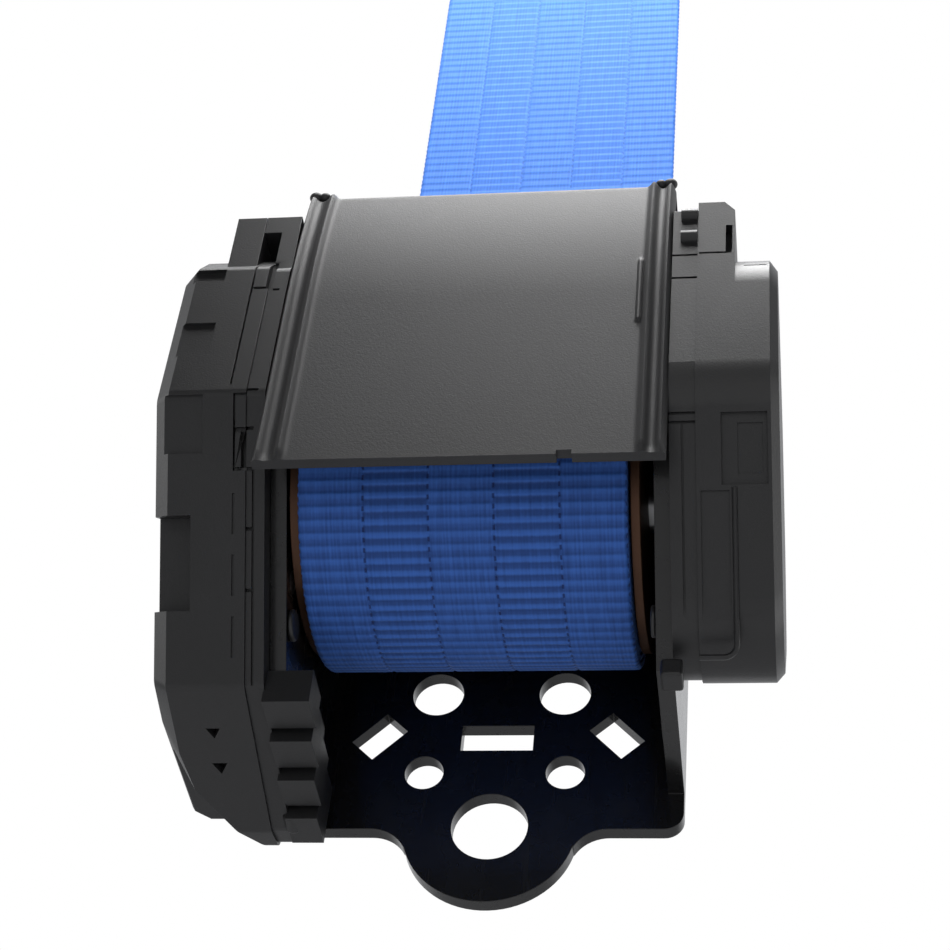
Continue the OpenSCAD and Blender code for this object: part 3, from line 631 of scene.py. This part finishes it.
spread = sorted({round(s * (half_w - d), 3) for s in (-1, 1) for d in
                 [0.0, 0.1, 0.25, 0.45, 0.7, 1.0, 1.3, 1.6, 2.0, 2.4, 2.7, 2.95, 3.2, 3.45, 3.7, 3.95, 4.2, 4.45,
                  4.6, 4.8, 5.0, 5.2, 5.5, 6.0, 7.0, 9.0, 12.0, 15.0, 18.0, 22.0, 26.0, 29.5]})
shape = bmesh.new()
skins = []
for inner in (0.0, sheet_t):
    rows = []
    for i, at in enumerate(trail):
        d = (trail[min(i + 1, len(trail) - 1)] - trail[max(i - 1, 0)]).normalized()
        out = Vector((-d.y, d.x))
        fade = min(1.0, i / 3.0)
        lip = 0.35 * math.exp(-((at.y - cover_top + 0.9) / 0.6) ** 2) if at.x < cover_front + lean_by + 1.2 else 0.0
        row = []
        for x in spread:
            if inner:
                v = at - out * inner
            else:
                v = at + out * (cover_section(x, at.y) * (0.35 + 0.65 * fade) + lip)
            row.append(shape.verts.new((x, v.x, v.y)))
        rows.append(row)
    skins.append(rows)
outside, inside = skins
for i in range(len(trail) - 1):
    for j in range(len(spread) - 1):
        shape.faces.new([outside[i][j], outside[i][j + 1], outside[i + 1][j + 1], outside[i + 1][j]])
        shape.faces.new([inside[i][j], inside[i + 1][j], inside[i + 1][j + 1], inside[i][j + 1]])
    for j in (0, -1):
        shape.faces.new([outside[i][j], outside[i + 1][j], inside[i + 1][j], inside[i][j]])
for i in (0, -1):
    for j in range(len(spread) - 1):
        shape.faces.new([outside[i][j], outside[i][j + 1], inside[i][j + 1], inside[i][j]])
bmesh.ops.recalc_face_normals(shape, faces=shape.faces)
shield = new_piece("Webbing_cover", shape)


def block(shape, x0, x1, y0, y1, z0, z1):
    """Adds a closed box to a bmesh."""
    made = bmesh.ops.create_cube(shape, size=1)["verts"]
    bmesh.ops.scale(shape, vec=(abs(x1 - x0), abs(y1 - y0), abs(z1 - z0)), verts=made)
    bmesh.ops.translate(shape, vec=((x0 + x1) / 2, (y0 + y1) / 2, (z0 + z1) / 2), verts=made)


def carve(piece, shape, operation="DIFFERENCE"):
    """Cuts the shape from the piece, or joins it on, and keeps the result as plain faces."""
    tool = new_piece("Cutter", shape)
    cut = piece.modifiers.new("Carve", "BOOLEAN")
    cut.operation, cut.object, cut.solver = operation, tool, "EXACT"
    cut.use_self = True
    done = bpy.data.meshes.new_from_object(piece.evaluated_get(bpy.context.evaluated_depsgraph_get()))
    piece.modifiers.clear()
    old, piece.data = piece.data, done
    done.name = old.name + "_carved"
    bpy.data.objects.remove(tool)
    clean = bmesh.new()
    clean.from_mesh(done)
    bmesh.ops.remove_doubles(clean, verts=clean.verts, dist=0.000002)
    clean.to_mesh(done)
    clean.free()


# a moulding gate's nick in the lower edge, the ribs behind and the rivet holes
nick = bmesh.new()
block(nick, 14.2, 16.4, cover_front - 2, cover_front + 3, cover_low - 1, cover_low + 0.8)
for s in (-1, 1):
    hole = bmesh.ops.create_cone(nick, cap_ends=True, segments=32, radius1=1.55, radius2=1.55, depth=8)["verts"]
    bmesh.ops.translate(nick, vec=(s * 20, -21.5, cover_top), verts=hole)
carve(shield, nick)
grained = moulded("Grained cover plastic", (0.017, 0.017, 0.018), (0.030, 0.030, 0.031), 0.47, 4200, 0.00003, 0.80)
finish_piece(shield, "root", grained, ["webbing_cover"], sharp=40)

shape = bmesh.new()
for s in (-1, 1):
    block(shape, s * 27.0, s * 29.5, cover_front + sheet_t - 0.1, -51.5, 44, 70)
    for x, r in ((28.6, 0.95), (27.1, 0.80)):
        knob = bmesh.ops.create_uvsphere(shape, u_segments=20, v_segments=12, radius=r)["verts"]
        bmesh.ops.scale(shape, vec=(1.15, 1, 1), verts=knob)
        bmesh.ops.translate(shape, vec=(s * x, cover_front + lean_by + 0.35, cover_top - 0.75), verts=knob)
ribs = new_piece("Cover_ribs_and_knobs", shape)
finish_piece(ribs, "root", grained)
rounded(ribs, 0.25, 2)


# ---- Sensor housing -------------------------------------------------------
# Two satin black mouldings on the left cheek hold the lock and the vehicle
# sensor. The cover snaps over the base along a stepped seam of tabs, and clip
# blocks hook under the cheek. The sloped front has a finger notch.
brow_y, brow_z = -58.0, 110.0 / 3
slope_turn = Matrix(((1, 0, 0), (0, 0.6, -0.8), (0, -0.8, -0.6))).transposed().to_4x4()


def slope_block(shape, x0, x1, s0, s1, n0, n1):
    """A box on the sloped front: s runs down the slope from its brow, and n stands out from it."""
    made = bmesh.ops.create_cube(shape, size=1)["verts"]
    bmesh.ops.scale(shape, vec=(abs(x1 - x0), abs(s1 - s0), abs(n1 - n0)), verts=made)
    bmesh.ops.translate(shape, vec=((x0 + x1) / 2, (s0 + s1) / 2, (n0 + n1) / 2), verts=made)
    bmesh.ops.transform(shape, matrix=Matrix.Translation((0, brow_y, brow_z)) @ slope_turn, verts=made)
    bmesh.ops.reverse_faces(shape, faces=list({f for v in made for f in v.link_faces}))


satin = moulded("Satin black housing plastic", (0.008, 0.008, 0.0085), (0.019, 0.019, 0.020), 0.34, 3600, 0.00002)
case = traced("Sensor_cover", "sensor_housing_cover")
cuts = bmesh.new()
face = -58.0
seam_x, groove = -35.0, 0.32
block(cuts, seam_x, seam_x + groove, face - 1, face + 0.7, 38.2, 66.0)          # long seam, upright face
block(cuts, seam_x, -32.0, face - 1, face + 0.8, 65.8, 66.3)
block(cuts, seam_x, -32.0, face - 1, face + 0.8, 59.0, 59.5)
block(cuts, -32.7, -32.0, face - 1, face + 1.4, 59.4, 65.9)                     # gap beside the upper tab
block(cuts, -42.5, -40.5, face - 1, face + 0.35, 47.6, 49.8)                      # stamped dot in the square
slope_block(cuts, -47.5, -38.8, 0.3, 9.0, -0.8, 2)                                # wide stepped recess
for s0, s1, x1 in ((0.2, 0.6, -31.9), (5.3, 6.0, -32.0), (11.2, 11.7, -32.0)):
    slope_block(cuts, seam_x + 0.8, x1, s0, s1, -0.9, 2)
slope_block(cuts, seam_x + 0.8, seam_x + 0.8 + groove, 0.4, 11.3, -0.7, 2)
slope_block(cuts, -33.0, -32.0, 6.0, 11.2, -1.6, 2)
for s0 in (15.0, 24.0, 33.0):                                                     # latch marks down the slope
    slope_block(cuts, -34.3, -33.9, s0, s0 + 6.0, -0.35, 2)
for y0, w in ((-24.0, 2.0), (-17.5, 2.2)):                                        # pockets under the housing
    pocket = bmesh.ops.create_cone(cuts, cap_ends=True, segments=3, radius1=w * 0.62, radius2=w * 0.62, depth=5)
    bmesh.ops.translate(cuts, vec=(-38.2, y0, -0.5), verts=pocket["verts"])
carve(case, cuts)
finish_piece(case, "root", satin, ["sensor_housing_cover"])
rounded(case, 0.35, 2, 24)

back = traced("Sensor_base", "sensor_housing_base")
cuts = bmesh.new()
for z0 in (37.2, 59.0, 65.9):
    block(cuts, -32.4, -30.6, face - 1, face + 1.0, z0, z0 + 0.45)
block(cuts, -32.5, -31.7, face - 1, face + 1.4, 59.4, 65.9)
for s0 in (5.2, 11.2, 20.0, 29.0):
    slope_block(cuts, -32.6, -31.2, s0, s0 + 0.5, -1.1, 2)
slope_block(cuts, -31.4, -31.05, 11.5, 43.0, -0.9, 2)
carve(back, cuts)
finish_piece(back, "root", satin, ["sensor_housing_base"])
rounded(back, 0.3, 2, 24)

# peg of the base that reaches past the cheek's lower corner
shape = bmesh.new()
peg = bmesh.ops.create_cone(shape, cap_ends=True, segments=24, radius1=1.55, radius2=1.35, depth=3.4)["verts"]
bmesh.ops.rotate(shape, cent=(0, 0, 0), matrix=Matrix.Rotation(math.radians(90), 3, "X"), verts=peg)
bmesh.ops.translate(shape, vec=(-29.0, -6.2, -3.0), verts=peg)
pegs = new_piece("Base_peg", shape)
finish_piece(pegs, "root", satin)
rounded(pegs, 0.25, 2)


# ---- Spring housing -------------------------------------------------------
# The right cheek carries the clock spring in a round drum, closed by a satin
# black cover with an ear above it. A bead frames the lower panel, and a foot
# on the base seats under the cheek.
drum_case = traced("Spring_cover", "spring_housing_cover")
cuts = bmesh.new()
block(cuts, 40.2, 43.6, face - 1, face + 1.2, 61.6, 62.3)                         # slit over the drum
slope_block(cuts, 33.9, 38.0, 16.0, 38.6, -0.45, 2)                               # sunk panel inside the bead
slope_block(cuts, 39.2, 42.8, 6.3, 13.6, -1.1, 2)                                 # inner step of the recess
block(cuts, 33.5, 38.4, face - 1, face + 0.7, 63.6, 64.0)
carve(drum_case, cuts)
finish_piece(drum_case, "root", satin, ["spring_housing_cover"])
rounded(drum_case, 0.6, 3, 20)

shape = bmesh.new()
bead_r, turn_r, bead_x, bead_end = 0.42, 1.9, 38.7, 39.6
track = [(bead_x, 15.6 + k * 1.1) for k in range(21)]
track += [(bead_x - turn_r + turn_r * math.cos(a), bead_end - turn_r + turn_r * math.sin(a))
          for a in [math.radians(9 * k) for k in range(11)]]
track += [(bead_x - turn_r - k * 0.85, bead_end) for k in range(1, 5)]
rings = []
for i, (x, s) in enumerate(track):
    x0, s0 = track[max(i - 1, 0)]
    x1, s1 = track[min(i + 1, len(track) - 1)]
    length = math.hypot(x1 - x0, s1 - s0)
    px, ps = (s1 - s0) / length, -(x1 - x0) / length
    ring = []
    for n in range(10):
        b = 2 * math.pi * n / 10
        v = slope_turn @ Vector((x + px * bead_r * math.cos(b), s + ps * bead_r * math.cos(b), bead_r * math.sin(b)))
        ring.append(shape.verts.new(v + Vector((0, brow_y, brow_z))))
    rings.append(ring)
for a, b in zip(rings, rings[1:]):
    for n in range(10):
        shape.faces.new([a[n], a[(n + 1) % 10], b[(n + 1) % 10], b[n]])
shape.faces.new(rings[0])
shape.faces.new(rings[-1][::-1])
bmesh.ops.recalc_face_normals(shape, faces=shape.faces)
bead = new_piece("Panel_bead", shape)
finish_piece(bead, "root", satin, sharp=60)

side = traced("Spring_base", "spring_housing_base")
cuts = bmesh.new()
for z0 in (63.7, 58.6):
    block(cuts, 29.0, 33.6, face - 1, face + 0.9, z0, z0 + 0.4)
for s0 in (4.6, 5.9):
    slope_block(cuts, 29.0, 33.6, s0, s0 + 0.4, -1.2, 2)
slope_block(cuts, 31.2, 31.55, 6.2, 40.0, -0.9, 2)
carve(side, cuts)
finish_piece(side, "root", satin, ["spring_housing_base"])
rounded(side, 0.3, 2, 24)

shape = bmesh.new()
block(shape, 27.8, 31.0, -33.4, -29.4, 2.6, 5.7)
foot = new_piece("Base_foot", shape)
finish_piece(foot, "root", satin)
rounded(foot, 0.5, 3)


# ---- Rivets ---------------------------------------------------------------
# Nylon push rivets hold the housings to the cheeks and the cover to the guide.
# Their heads are domed and polished by the setting tool.
dome = moulded("Rivet nylon", (0.014, 0.014, 0.015), (0.028, 0.028, 0.029), 0.26, 1800, 0.00001)
for name, node, slot in (("Housing_rivets", "housing_push_rivets", "black_plastic"),
                         ("Cover_rivets", "cover_push_rivets", "black_plastic")):
    rivets = traced(name, node)
    finish_piece(rivets, "root", dome, [node])
    rounded(rivets, 0.3, 2)
